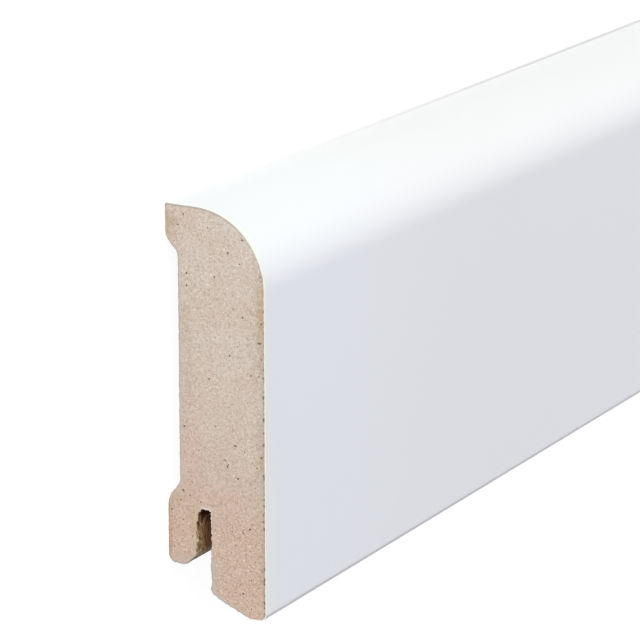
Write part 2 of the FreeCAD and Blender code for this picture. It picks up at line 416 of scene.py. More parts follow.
def frayed_section(rows, burrs, seed):
    """Places of the core's sides, row by row, in mm, as an array of rows by outline points.

    Each row is the outline moved square to itself. The move is the sum of fine and coarse
    unevenness, weighted by how badly the tool tears the fibres there, and of the burrs, each a bell
    in the distance from its middle. Each part falls exponentially with the distance from the sawn
    end. The result is held inside the board and under the foil.
    """
    height, depth = CORE_OUTLINE.T
    out = outward(CORE_OUTLINE)
    from_end = np.broadcast_to(rows[:, None], (len(rows), len(height)))
    places = np.stack(
        [from_end, np.broadcast_to(height, from_end.shape), np.broadcast_to(depth, from_end.shape)], -1
    )
    parts = parts_of_section(height, depth)
    saw_reach, cutter_reach = 0.7, 3.0
    near = np.exp(-from_end / saw_reach)
    deep = np.exp(-from_end / cutter_reach)
    fine = unevenness(places, 0.5, seed)
    coarse = unevenness(places, 1.8, seed + 1)
    spikes = np.abs(unevenness(places * (0.15, 1.0, 1.0), 0.4, seed + 2)) ** 1.3
    ragged = unevenness(places * (0.3, 1.0, 1.0), 0.3, seed + 3)
    saw_fray = 0.03 * fine + 0.03 * coarse
    cutter_fray = 0.07 * fine + 0.04 * coarse
    underside_fray = 0.05 * fine + 0.02 * coarse
    crown_tears = 0.26 * spikes - 0.14
    wall_rags, front_flare, foil_stand = 0.05, 0.05, 0.02
    bare = 1 - parts["covered"]
    move = bare * near * saw_fray
    move += parts["groove"] * deep * cutter_fray
    move -= parts["crown"] * near * crown_tears
    move += (parts["crown"] + parts["rear"]) * near * wall_rags * ragged
    move -= front_flare * parts["front"] * near
    move += bare * parts["underside"] * near * underside_fray
    for burr_depth, burr_height, width, stand, run in burrs:
        bell = np.exp(-((height - burr_height) ** 2 + (depth - burr_depth) ** 2) / width ** 2)
        move += stand * bell * np.exp(-from_end / run)
    move -= parts["covered"] * near * foil_stand * (1 + fine)
    moved = places[..., 1:] + move[..., None] * out
    moved[..., 0] = np.clip(moved[..., 0], FOIL, HEIGHT - FOIL)
    moved[..., 1] = np.clip(moved[..., 1], 0.0, core_face)
    return moved


def sawn_end(outline, pores, seed):
    """Surface of a sawn end inside its outline: its points, dents, pore weights, distances from the
    rim, and triangles.

    The points are rings just inside the outline, rings round each pore, and a jittered grid. They
    are joined by a constrained Delaunay triangulation. The dent at a point is fine unevenness from
    the torn fibres, a little more at the arris, and a bowl in each pore that deepens with one less
    the square of the distance from its middle in half widths.
    """
    random = np.random.default_rng(seed)
    rings = [outline - outward(outline) * step for step in RIM_STEPS]
    low, high = outline.min(0), outline.max(0)
    grid = np.stack(
        np.meshgrid(np.arange(low[0], high[0], FIBRE_STEP), np.arange(low[1], high[1], FIBRE_STEP)), -1
    ).reshape(-1, 2)
    grid = grid + random.uniform(-FIBRE_JITTER, FIBRE_JITTER, grid.shape) * FIBRE_STEP
    middle, width, tall = pores[:, 1::-1], pores[:, 2], pores[:, 3]
    reach = np.stack([width * np.sqrt(tall), width / np.sqrt(tall)], 1)
    angle = np.linspace(0, 2 * math.pi, 9)[:-1]
    spokes = np.stack([np.cos(angle), np.sin(angle)], 1)
    rounds = np.array([0.35, 0.7, 1.0, 1.35])
    clear_of_pore, clear_of_rim = 1.6, RIM_STEPS[-1] + 0.1
    bowls = middle[:, None, None] + reach[:, None, None] * spokes * rounds[:, None, None]
    bowls = np.concatenate([bowls.reshape(-1, 2), middle])

    def into(points):
        """Distance from the nearest pore's middle, in half widths of that pore."""
        return np.concatenate(
            [
                np.linalg.norm((points[first:first + BATCH, None] - middle) / reach, axis=2).min(1)
                for first in range(0, len(points), BATCH)
            ]
        )

    grid = grid[into(grid) > clear_of_pore]
    inner = np.concatenate([grid, bowls])
    distance, inside = nearest_side(inner, outline)
    inner = inner[inside & (distance > clear_of_rim)]
    rims = np.concatenate(rings)
    distance, inside = nearest_side(rims, outline)
    # Places of a ring that another part of the rim comes nearer to are left out
    wanted = np.repeat(RIM_STEPS, len(outline))
    inner = np.concatenate([rims[inside & (distance > wanted * 0.8)], inner])
    points = np.concatenate([outline, inner])
    side = np.arange(len(outline))
    sides = np.stack([side, np.roll(side, -1)], 1).tolist()
    joined = delaunay_2d_cdt(points.tolist(), sides, [], 0, 1e-7, True)
    if not all(joined[3]):
        raise RuntimeError("the frayed outline crosses itself")
    kept_point = np.array([ids[0] for ids in joined[3]])
    triangles = kept_point[np.array(joined[2])]
    triangles = triangles[nearest_side(points[triangles].mean(1), outline)[1]]

    into_pore = into(points)
    to_rim = np.zeros(len(points))
    to_rim[len(outline):] = nearest_side(inner, outline)[0]
    placed = np.column_stack([points, np.full(len(points), seed)])
    torn = 0.03 + 0.016 * unevenness(placed, 0.6, seed) + 0.012 * unevenness(placed, 1.6, seed + 1)
    eased = 0.05 * np.exp(-to_rim / 0.12) * (1 + 0.7 * unevenness(placed, 0.8, seed + 2))
    bowl = PORE_DEPTH * np.clip(1 - into_pore ** 2, 0, 1)
    in_pore = np.clip(rounds[-1] - into_pore, 0, 1) ** 0.7
    return points, np.maximum(torn + eased + bowl, 0.0), in_pore, to_rim, triangles


def more_pores(seed):
    """Small pores at random places of the section, with random widths and shapes."""
    random = np.random.default_rng(seed)
    margin = 0.5
    places = random.uniform((0.4, margin), (DEPTH - margin, HEIGHT - margin), (SMALL_PORES, 2))
    widths = random.uniform(0.05, 0.1, SMALL_PORES)
    shapes = random.uniform(0.6, 1.8, SMALL_PORES)
    return np.column_stack([places, widths, shapes])


def torn_fibres(count, end, way, seed):
    """Torn fibres on the groove's rear wall by a sawn end: their points, in mm, and faces.

    Each fibre is a bent spindle. Its line starts on the wall and runs mostly along the height, with
    a bow that goes with the square of the share of its length, and its width is the sine of pi
    times that share to the power of 0.6, so that both ends close to a point. The tuft runs along the
    board.
    """
    random = np.random.default_rng(seed)
    rings, sides = 5, 4
    tuft = random.uniform(size=count) < TUFT_SHARE
    from_end = np.minimum(random.exponential(TORN_MEAN, count) + 0.1, TORN_REACH)
    in_tuft = random.normal(TUFT_HEIGHT, TUFT_SPREAD, count)
    alone = random.uniform(WALL_FOOT, GROOVE_TOP - 0.4, count)
    root = np.stack([from_end, np.where(tuft, in_tuft, alone), np.full(count, BLOCK_DEPTH)], 1)
    length = random.uniform(*TORN_LENGTHS, count)
    lean = random.normal(0.0, 0.35, count)
    line = np.stack([np.sin(lean), np.cos(lean), random.uniform(0.0, 0.22, count)], 1)
    bow_along, bow_across = random.normal(0, 0.2, count), random.uniform(-0.25, 0.1, count)
    bow = np.stack([bow_along, np.zeros(count), bow_across], 1)
    share = np.linspace(0, 1, rings + 2)
    line_share = share[None, :, None]
    spine = root[:, None] + length[:, None, None] * (
        line[:, None] * (line_share - 0.5) + bow[:, None] * (line_share - 0.5) ** 2
    )
    width = random.uniform(*TORN_WIDTHS, count)[:, None] * np.sin(math.pi * share) ** 0.6
    angle = np.arange(sides) * 2 * math.pi / sides
    across = np.stack([np.cos(angle), np.zeros(sides), -np.sin(angle)], 1)
    body = spine[:, 1:-1, None] + width[:, 1:-1, None, None] * across
    points = np.concatenate([spine[:, :1], body.reshape(count, -1, 3), spine[:, -1:]], 1)
    per_fibre = rings * sides + 2
    ring = np.arange(sides)
    step = np.arange(rings - 1)[:, None] * sides
    low = 1 + step + ring
    low_next = 1 + step + (ring + 1) % sides
    quads = np.stack([low, low_next, low_next + sides, low + sides], -1).reshape(-1, 4)
    root_caps = np.stack([np.zeros(sides, int), 1 + (ring + 1) % sides, 1 + ring], 1)
    last = 1 + (rings - 1) * sides
    tip_caps = np.stack([np.full(sides, per_fibre - 1), last + ring, last + (ring + 1) % sides], 1)
    shift = (np.arange(count) * per_fibre)[:, None, None]
    quads = (quads + shift).reshape(-1, 4)
    caps = (np.concatenate([root_caps, tip_caps]) + shift).reshape(-1, 3)
    points = points.reshape(-1, 3)
    behind_cut = 0.03
    points[:, 0] = end + way * np.maximum(points[:, 0], behind_cut)
    if way < 0:
        quads, caps = quads[:, ::-1], caps[:, ::-1]
    return points, quads, caps


def in_place(sections_mm):
    """Board coordinates in metres from rows of length, height and depth in mm."""
    placed = np.array(sections_mm, float)
    placed[..., 1] -= HEIGHT / 2
    return placed * MM


def new_piece(name, points, faces, finishes, finish_of_face, weights):
    """A mesh object from points and faces, with a finish for each face and named point weights."""
    mesh = bpy.data.meshes.new(name)
    mesh.from_pydata(points.tolist(), [], faces)
    for finish in finishes:
        mesh.materials.append(finish)
    mesh.polygons.foreach_set("material_index", np.asarray(finish_of_face, np.int32))
    for label, values in weights.items():
        layer = mesh.attributes.new(label, "FLOAT", "POINT")
        layer.data.foreach_set("value", np.asarray(values, np.float32))
    mesh.shade_smooth()
    mesh.set_sharp_from_angle(angle=CREASE)
    mesh.update()
    if mesh.validate():
        raise RuntimeError(f"{name} had bad faces")
    piece = bpy.data.objects.new(name, mesh)
    bpy.context.scene.collection.objects.link(piece)
    return piece


def swept_quads(rows, count):
    """Faces between the rows of a swept closed section: each joins two neighbours of one row to the
    same two of the next."""
    point = np.arange(count)
    following = (point + 1) % count
    row = np.arange(rows - 1)[:, None] * count
    quads = np.stack([row + point, row + count + point, row + count + following, row + following], -1)
    return quads.reshape(-1, 4)


def stained(points, seed, *stains):
    """How strongly stains show at points of length, height and depth: the sum of their bells, made
    patchy, up to 1. A bell falls with the square of the distance in reaches from its middle, and all
    of them fall exponentially with the distance from the near end."""
    total = np.zeros(len(points))
    for depth, height, reach_depth, reach_height, strength in stains:
        across = (points[:, 2] - depth) / reach_depth
        upward = (points[:, 1] - height) / reach_height
        total += strength * np.exp(-(across ** 2 + upward ** 2))
    from_near_end = points[:, 0] + LENGTH / 2
    patchy = 0.8 + 0.35 * unevenness(points, 1.1, seed)
    return np.clip(total * patchy * np.exp(-from_near_end / STAIN_RUN_IN), 0, 1)


def marks_of_saw(points, to_rim, in_pore):
    """Weights of the marks on the core, from points of length, height and depth in mm.

    The rim is the dusty arris round the saw cut, wider along the glue line behind the face, and
    where the groove's cutter lifted the fibres it is pale instead. Beside the face the arris is
    smeared white, and glue spots are the high places of an unevenness there. All of these fall
    exponentially with the distance from the rim. The groove gets painted shade that deepens with
    the distance from the sawn end, as one less its falling exponential, and more painted shade at
    the crown, less by the saw cut. It is dusty at the mouth, with a painted shadow below it.
    The stains come from their table, and dust on bare arrises adds to the grey.
    """
    height, depth = points[:, 1], points[:, 2]
    from_end = LENGTH / 2 - np.abs(points[:, 0])
    parts = parts_of_section(height, depth)
    lifted = np.clip(parts["crown"] + parts["front"] + 0.45 * parts["rear"], 0, 1)
    fuzz = np.clip(parts["crown"] * between(depth, 5.3, 9.0, 0.8) + 0.45 * parts["front"], 0, 1)
    patchy_fuzz = np.clip(0.95 + 0.3 * unevenness(points, 0.7, seed=61), 0, 1)
    glue_spots = np.clip(unevenness(points * (1.0, 1.0, 0.3), 0.55, seed=62) + 0.04, 0, 1) * 1.6
    behind_face = between(depth, core_face - 0.35, PAST_FACE, 0.2) * between(height, 0.0, 46.0, 6.0)
    glue_line = between(depth, core_face - 0.8, PAST_FACE, 0.2) * between(height, 1.0, 52.0, 3.0)
    beside_face = between(depth, core_face - 0.15, PAST_FACE, 0.1) * between(height, 1.0, 51.0, 3.0)
    rim_width = 0.16 + 0.12 * glue_line
    smear_width = 0.03 + 0.04 * between(height, 43.5, HEIGHT, 2.0)
    bare_rim = (1 - parts["covered"]) * (1 - lifted) * between(depth, 1.1, PAST_FACE, 1.0)
    shade_away_from_end = 1 - 0.8 * np.exp(-from_end / 1.4)
    patchy_mouth_shade = np.clip(0.9 + 0.6 * unevenness(points, 0.6, seed=67), 0, 1)
    marks = {
        "rim": (1 - lifted) * np.exp(-to_rim / rim_width),
        "pale": fuzz * np.exp(-to_rim / 0.38) * patchy_fuzz,
        "smear": beside_face * np.exp(-to_rim / smear_width),
        "pore": np.clip(in_pore + behind_face * glue_spots * np.exp(-to_rim / 0.4), 0, 1),
        # Painted shade at the crown, less by the sawn end
        "crown_shade": between(height, GROOVE_TOP - 2.5, PAST_TOP, 3.0) * shade_away_from_end,
        # Painted shade that deepens with the distance from the sawn end
        "groove_depth_shade": 1 - np.exp(-from_end / 2.4),
        # Painted shadow at the bottom of the groove's mouth
        "mouth": between(height, 0.0, BLOCK_FOOT + 0.5, 0.3) * patchy_mouth_shade,
        "dusty": np.maximum(0.55 * between(height, 0.0, BLOCK_FOOT + 2.4, 1.6), parts["bevel"]),
    }
    for name, stains in STAINS.items():
        marks[name] = stained(points, *stains)
    marks["grey"] = np.clip(marks["grey"] + bare_rim * np.exp(-to_rim / 0.35), 0, 1)
    return marks


# Places of the core's finishes in its list of materials
SAWN, MILLED, SANDED, RUBBED, TORN = range(5)


def make_fibreboard(finishes):
    """The core: its outline carried along the board, closed by a sawn surface at each end, with
    loose fibres in the groove. The rear planes are sanded, the groove rubbed, the rest milled."""
    near_x = -LENGTH / 2 + CORE_ROWS
    far_x = LENGTH / 2 - CORE_ROWS[-2::-1]
    rows_x = np.concatenate([near_x, far_x])
    near_rows = frayed_section(CORE_ROWS, BURRS, seed=11)
    far_rows = frayed_section(CORE_ROWS, BURRS[:0], seed=47)[-2::-1]
    sections = np.concatenate([near_rows, far_rows])
    count = len(CORE_OUTLINE)
    points = np.concatenate(
        [np.broadcast_to(rows_x[:, None, None], (len(rows_x), count, 1)), sections], 2
    ).reshape(-1, 3)
    sides = swept_quads(len(rows_x), count)
    height, depth = CORE_OUTLINE.T
    slack = 0.01
    flat_back = np.maximum(depth, np.roll(depth, -1)) < 1e-6
    in_groove = (depth > BLOCK_DEPTH - GROOVE_LEAD_IN) & (depth < HEEL + slack)
    in_groove &= (height > BLOCK_FOOT + 0.2) & (height < GROOVE_TOP + slack)
    side_finish = np.tile(np.select([flat_back, in_groove], [SANDED, RUBBED], MILLED), len(rows_x) - 1)
    to_rim = [np.repeat(np.concatenate([CORE_ROWS, CORE_ROWS[-2::-1]]), count)]
    pore = [np.zeros(len(points))]
    end_faces = []
    # Each end: its row of the sections, its place, the way into the board, its large pores, its seed
    ends = ((0, -LENGTH / 2, 1, PORES, 5), (len(rows_x) - 1, LENGTH / 2, -1, PORES[:0], 23))
    total = len(points)
    for row, end, way, large, seed in ends:
        pores = np.concatenate([large, more_pores(seed)])
        flat, dent, in_pore, from_rim, joined = sawn_end(sections[row], pores, seed)
        rim_points = np.arange(count) + row * count
        points[rim_points, 0] = end + way * dent[:count]
        pore[0][rim_points] = in_pore[:count]
        inner = np.column_stack([end + way * dent[count:], flat[count:]])
        where = np.concatenate([rim_points, total + np.arange(len(inner))])
        total += len(inner)
        points = np.concatenate([points, inner])
        to_rim.append(from_rim[count:])
        pore.append(in_pore[count:])
        end_faces.append(where[joined][:, ::-way])
    fibre_faces, fibre_tips = [], []
    for end, way, seed in ((-LENGTH / 2, 1, 71), (LENGTH / 2, -1, 83)):
        fibre_points, quads, tips = torn_fibres(TORN_FIBRES, end, way, seed)
        fibre_faces.append(quads + total)
        fibre_tips.append(tips + total)
        total += len(fibre_points)
        points = np.concatenate([points, fibre_points])
        to_rim.append(np.full(len(fibre_points), TORN_REACH))
        pore.append(np.zeros(len(fibre_points)))
    fibre_faces, end_faces, fibre_tips = map(np.concatenate, (fibre_faces, end_faces, fibre_tips))
    faces = sides.tolist() + fibre_faces.tolist() + end_faces.tolist() + fibre_tips.tolist()
    finish_of_face = np.concatenate(
        [
            side_finish,
            np.full(len(fibre_faces), TORN),
            np.full(len(end_faces), SAWN),
            np.full(len(fibre_tips), TORN),
        ]
    )
    marks = marks_of_saw(points, np.concatenate(to_rim), np.concatenate(pore))
    return new_piece("fibreboard", in_place(points), faces, finishes, finish_of_face, marks)


# Decor foil

FOIL_OUTSIDE = section_path(
    [
        (FOOT_REAR, 0.0, 0.0, FOIL_STEP),
        (DEPTH, 0.0, FOOT_ARRIS, FOIL_STEP),
        (DEPTH, HEIGHT - TOP_FALL * (DEPTH - ARRIS_EASE) / DEPTH, ROUND_OVER, FOIL_STEP),
        (ARRIS_EASE, HEIGHT, 0.0, FOIL_STEP),
        (0.0, HEIGHT - ARRIS_EASE, 0.0, FOIL_STEP),
    ],
    closed=False,
)


def make_foil(decor, cut_edge):
    """The foil: an open section path and the same path moved in by its thickness, carried along.

    The two meet in a long edge at each side of the strip, and the sawn ends are closed by quads
    between them. At the ends the saw leaves the edge a few hundredths of a millimetre uneven. Its
    dust falls exponentially with the distance from the saw cut, and reaches furthest low on the
    face.
    """
    inside = FOIL_OUTSIDE - outward(FOIL_OUTSIDE, closed=False) * FOIL
    inside[0] = (FOIL, FOOT_REAR - FOIL * heel_slope)
    inside[-1] = (top_of_core(0.0) - core_ease, 0.0)
    half = len(FOIL_OUTSIDE)
    section = np.concatenate([FOIL_OUTSIDE, inside[::-1]])
    rows_x = np.concatenate([FOIL_ROWS, 2 * FOIL_ROWS[-1] - FOIL_ROWS[-2::-1]]) - LENGTH / 2
    count = len(section)
    points = np.concatenate(
        [
            np.broadcast_to(rows_x[:, None, None], (len(rows_x), count, 1)),
            np.broadcast_to(section, (len(rows_x), count, 2)),
        ],
        2,
    ).copy()
    set_back = np.clip(0.02 * (1 + unevenness(section, 0.7, seed=3)), 0, 0.06)
    points[0, :, 0] += set_back
    points[-1, :, 0] -= set_back[::-1]
    sides = swept_quads(len(rows_x), count)
    step = np.arange(half - 1)
    near = np.stack([step, step + 1, count - 2 - step, count - 1 - step], 1)
    far = near[:, ::-1] + (len(rows_x) - 1) * count
    faces = np.concatenate([sides, near, far])
    finish = np.concatenate([np.zeros(len(sides), int), np.ones(len(near) + len(far), int)])
    from_end = np.minimum(points[..., 0] - points[0, 0, 0], points[-1, 0, 0] - points[..., 0])
    dust_reach = 1.4 + 3.4 * between(section[:, 0], -9.0, 22.0, 16.0)
    dust = np.exp(-from_end / dust_reach)
    return new_piece(
        "decor_foil", in_place(points.reshape(-1, 3)), faces.tolist(), [decor, cut_edge], finish,
        {"dust": dust.reshape(-1)},
    )


# Materials

def colour(code):
    """A linear colour from an sRGB hex code: each share over 0.04045 is the 2.4th power of itself
    plus 0.055 over 1.055, and a smaller one is divided by 12.92."""
    shares = [int(code[place:place + 2], 16) / 255 for place in (1, 3, 5)]
    return tuple(s / 12.92 if s <= 0.04045 else ((s + 0.055) / 1.055) ** 2.4 for s in shares) + (1.0,)


def add_node(tree, kind, settings=None, out=None, **sockets):
    """Adds a shader node and gives the named output, or the first in use. An input is named with
    underscores for spaces, or by place as s0, s1 and so on, and takes a value or another node's
    output."""
    node = tree.nodes.new("ShaderNode" + kind)
    for setting, value in (settings or {}).items():
        setattr(node, setting, value)
    for label, value in sockets.items():
        if label[0] == "s" and label[1:].isdigit():
            socket = node.inputs[int(label[1:])]
        else:
            wanted = label.replace("_", " ")
            socket = next(s for s in node.inputs if s.name == wanted and s.enabled)
        if isinstance(value, bpy.types.NodeSocket):
            tree.links.new(value, socket)
        else:
            socket.default_value = value
    if out:
        return node.outputs[out]
    return next((output for output in node.outputs if output.enabled), None)


def new_finish(name):
    """An empty material, its tree, and the board's own coordinates in millimetres."""
    material = bpy.data.materials.new(name)
    material.use_nodes = True
    tree = material.node_tree
    tree.nodes.clear()
    place = add_node(tree, "TexCoord", out="Object")
    in_mm = add_node(tree, "Mapping", Vector=place, Scale=(1 / MM, 1 / MM, 1 / MM))
    return material, tree, in_mm


def tinted(tree, tone, where, low, high, most, tint, blend="MIX"):
    """A tone turned towards a tint: not at all where a measure is low, and most where it is high. The
    measure is another node's output, or the name of a weight that the piece's points carry."""
    if isinstance(where, str):
        where = add_node(tree, "Attribute", {"attribute_name": where}, "Fac")
    share = add_node(
        tree, "MapRange", {"clamp": True, "interpolation_type": "SMOOTHSTEP"},
        Value=where, From_Min=low, From_Max=high, To_Max=most,
    )
    return add_node(
        tree, "Mix", {"data_type": "RGBA", "blend_type": blend},
        Factor=share, A=tone, B=colour(tint),
    )


def strokes(tree, place, size, width):
    """Curved strokes: the places where a cloudy noise passes through its middle value, a width of
    its range either side, kept where a second noise is high, so that each stroke is short."""
    cloud = add_node(tree, "TexNoise", Vector=place, Scale=1 / size, Detail=1.0)
    line = add_node(tree, "Math", {"operation": "COMPARE"}, s0=cloud, s1=0.5, s2=width)
    other = add_node(tree, "TexNoise", Vector=place, Scale=1 / (size * 1.1), Detail=0.0)
    kept = add_node(tree, "MapRange", {"clamp": True}, Value=other, From_Min=0.5, From_Max=0.58)
    return add_node(tree, "Math", {"operation": "MULTIPLY"}, s0=line, s1=kept)


def board_colour(tree, place, pale, rose, dark_fibre, light_fibre, fleck):
    """Colours that all the bare fibreboard shares: a slow change of tone, then fibres and flecks.
    Real fibres are a few hundredths of a millimetre thick. They are drawn 0.2 to 0.4 mm wide. The
    fine and the coarse fibres come back too, for the relief."""
    zone = add_node(tree, "TexNoise", Vector=place, Scale=1 / 6.0, Detail=2.0)
    coarse = add_node(tree, "TexNoise", Vector=place, Scale=1 / 0.5, Detail=3.0, Roughness=0.6)
    fine = add_node(tree, "TexNoise", Vector=place, Scale=1 / 0.24, Detail=2.0, Roughness=0.6)
    speck = add_node(tree, "TexNoise", Vector=place, Scale=1 / 0.36, Detail=1.0, Roughness=0.4)
    tone = tinted(tree, colour(pale), zone, 0.4, 0.62, 1.0, rose)
    tone = tinted(tree, tone, coarse, 0.56, 0.3, 0.45, dark_fibre)
    tone = tinted(tree, tone, fine, 0.44, 0.26, 0.75, dark_fibre)
    tone = tinted(tree, tone, fine, 0.57, 0.74, 1.0, light_fibre)
    tone = tinted(tree, tone, strokes(tree, place, 0.8, 0.02), 0.0, 1.0, 0.28, dark_fibre)
    tone = tinted(tree, tone, strokes(tree, place, 0.65, 0.024), 0.0, 1.0, 0.34, light_fibre)
    return tinted(tree, tone, speck, 0.27, 0.2, 0.5, fleck), fine, coarse


def sawn_fibreboard():
    """Medium density fibreboard across a saw cut: matt, warm beige and rosier towards the foot, with
    a fine mottle of pale fibre ends, dark flecks of bark and small open pores. The panel's pressed
    skins are denser and browner, dust greys the arrises, and the groove's cutter lifts pale fuzz.
    Heights are from the middle of the board."""
    material, tree, place = new_finish("sawn_fibreboard")
    tints = ("#dccfc3", "#d9c8bb", "#b0987f", "#f4ebe4", "#8a7059")
    tone, fine, coarse = board_colour(tree, place, *tints)
    height = add_node(tree, "SeparateXYZ", out="Y", Vector=place)
    tone = tinted(tree, tone, height, 14.0, -6.0, 1.0, "#fbf8f6", "MULTIPLY")
    tone = tinted(tree, tone, height, -8.0, -19.0, 1.0, "#fdefe8", "MULTIPLY")
    low_third = add_node(tree, "MapRange", {"clamp": True}, Value=height, From_Min=-6.0, From_Max=-15.0)
    for size, low, high, most, tint in (
        (0.33, 0.56, 0.72, 0.7, "#a5836a"),
        (0.29, 0.58, 0.7, 0.85, "#f2e6de"),
    ):
        fleck = add_node(tree, "TexNoise", Vector=place, Scale=1 / size, Detail=2.0, Roughness=0.7)
        fleck = add_node(tree, "Math", {"operation": "MULTIPLY"}, s0=fleck, s1=low_third)
        tone = tinted(tree, tone, fleck, low, high, most, tint)
    for name, low, most, tint, blend in (
        ("dense", 0.0, 1.0, "#eee9e0", "MULTIPLY"),
        ("ochre", 0.0, 1.0, "#feebda", "MULTIPLY"),
        ("straw", 0.0, 1.0, "#f6f5e2", "MULTIPLY"),
        ("rose", 0.0, 1.0, "#fff3f2", "MULTIPLY"),
        ("grey", 0.1, 0.8, "#cbc4bd", "MIX"),
        ("pale", 0.1, 1.0, "#fff1e6", "MIX"),
        ("rim", 0.1, 0.55, "#9a948c", "MIX"),
        ("smear", 0.1, 0.9, "#f3efe6", "MIX"),
        ("pore", 0.2, 0.75, "#4a3729", "MIX"),
    ):
        tone = tinted(tree, tone, name, low, 1.0, most, tint, blend)
    relief = add_node(tree, "Math", {"operation": "ADD"}, s0=coarse, s1=fine)
    bump = add_node(tree, "Bump", Height=relief, Distance=0.06 * MM, Strength=0.8)
    shader = add_node(
        tree, "BsdfPrincipled",
        Base_Color=tone, Roughness=0.9, Specular_IOR_Level=0.3, Normal=bump,
    )
    add_node(tree, "OutputMaterial", Surface=shader)
    return material


def milled_fibreboard():
    """Fibreboard behind the board, cut by the moulder's knives: smoother and a little browner than
    the saw cut, with the knives' shallow marks across the feed and nick lines along it."""
    material, tree, place = new_finish("milled_fibreboard")
    tints = ("#cab298", "#c7ae94", "#997a60", "#ddc8b2", "#75563e")
    tone, fine = board_colour(tree, place, *tints)[:2]
    along = add_node(tree, "Mapping", Vector=place, Scale=(1 / 60.0, 1.0, 1.0))
    nick = add_node(tree, "TexNoise", Vector=along, Scale=1 / 0.5, Detail=2.0, Roughness=0.5)
    tone = tinted(tree, tone, nick, 0.55, 0.8, 0.4, "#a98c72")
    tone = tinted(tree, tone, "rim", 0.1, 1.0, 0.6, "#9a8b7c")
    knife = add_node(
        tree, "TexWave", {"bands_direction": "X", "wave_profile": "SIN"}, "Fac",
        Vector=place, Scale=0.26, Distortion=0.6, Detail=1.0,
    )
    relief = add_node(tree, "Math", {"operation": "MULTIPLY_ADD"}, s0=knife, s1=0.5, s2=fine)
    bump = add_node(tree, "Bump", Height=relief, Distance=0.04 * MM, Strength=0.8)
    shader = add_node(
        tree, "BsdfPrincipled",
        Base_Color=tone, Roughness=0.85, Specular_IOR_Level=0.3, Normal=bump,
    )
    add_node(tree, "OutputMaterial", Surface=shader)
    return material


def sanded_fibreboard():
    """The panel's own sanded rear: even and pale brown, its fibres lying flat in every direction."""
    material, tree, place = new_finish("sanded_fibreboard")
    tints = ("#c6ae93", "#c4ab90", "#9c8066", "#dac6ae", "#7b5f47")
    tone, fine = board_colour(tree, place, *tints)[:2]
    bump = add_node(tree, "Bump", Height=fine, Distance=0.02 * MM, Strength=0.7)
    shader = add_node(
        tree, "BsdfPrincipled",
        Base_Color=tone, Roughness=0.75, Specular_IOR_Level=0.35, Normal=bump,
    )
    add_node(tree, "OutputMaterial", Surface=shader)
    return material


def rubbed_fibreboard():
    """Fibreboard inside the groove, cut by a narrow cutter: straw and fuzzy by the saw cut, with
    painted shade that deepens further in and at the crown, dusty at the mouth with a painted shadow
    below it, and with fine strands that lie along the board's height. The strands are drawn about
    0.2 mm wide."""
    material, tree, place = new_finish("rubbed_fibreboard")
    tints = ("#c8a47b", "#ba936d", "#805a3c", "#e0c4a0", "#4a2f1c")
    tone, fine = board_colour(tree, place, *tints)[:2]
    standing = add_node(tree, "Mapping", Vector=place, Scale=(1.0, 0.16, 1.0))
    strand = add_node(tree, "TexNoise", Vector=standing, Scale=1 / 0.24, Detail=2.0, Roughness=0.6)
    tone = tinted(tree, tone, strand, 0.52, 0.36, 0.9, "#5c371e")
    tone = tinted(tree, tone, strand, 0.54, 0.68, 0.8, "#e6cdab")
    # Painted shade: browner deeper in and dark at the crown, and a painted shadow at the bottom of the
    # mouth
    for name, most, tint in (
        ("groove_depth_shade", 0.5, "#ab6f47"),
        ("dusty", 0.9, "#bcb0a2"),
        ("mouth", 0.95, "#463a2d"),
        ("crown_shade", 0.95, "#663205"),
    ):
        tone = tinted(tree, tone, name, 0.1, 1.0, most, tint)
    relief = add_node(tree, "Math", {"operation": "MULTIPLY_ADD"}, s0=strand, s1=2.0, s2=fine)
    bump = add_node(tree, "Bump", Height=relief, Distance=0.12 * MM, Strength=0.9)
    shader = add_node(
        tree, "BsdfPrincipled",
        Base_Color=tone, Roughness=0.95, Specular_IOR_Level=0.05, Normal=bump,
    )
    add_node(tree, "OutputMaterial", Surface=shader)
    return material


def torn_fibre():
    """Loose wood fibre that the groove cutter tears up: straw to olive brown, matt and soft. Deeper
    in the groove it is darkened with painted shade.
    """
    material, tree, place = new_finish("torn_fibre")
    tuft = add_node(tree, "TexNoise", Vector=place, Scale=1 / 0.6, Detail=1.0)
    tone = tinted(tree, colour("#b08c64"), tuft, 0.35, 0.65, 1.0, "#e6cfa9")
    # Painted shade: the fibres darken deeper into the groove
    tone = tinted(tree, tone, "groove_depth_shade", 0.3, 1.0, 0.6, "#916a4a")
    shader = add_node(tree, "BsdfPrincipled", Base_Color=tone, Roughness=0.95, Specular_IOR_Level=0.2)
    add_node(tree, "OutputMaterial", Surface=shader)
    return material


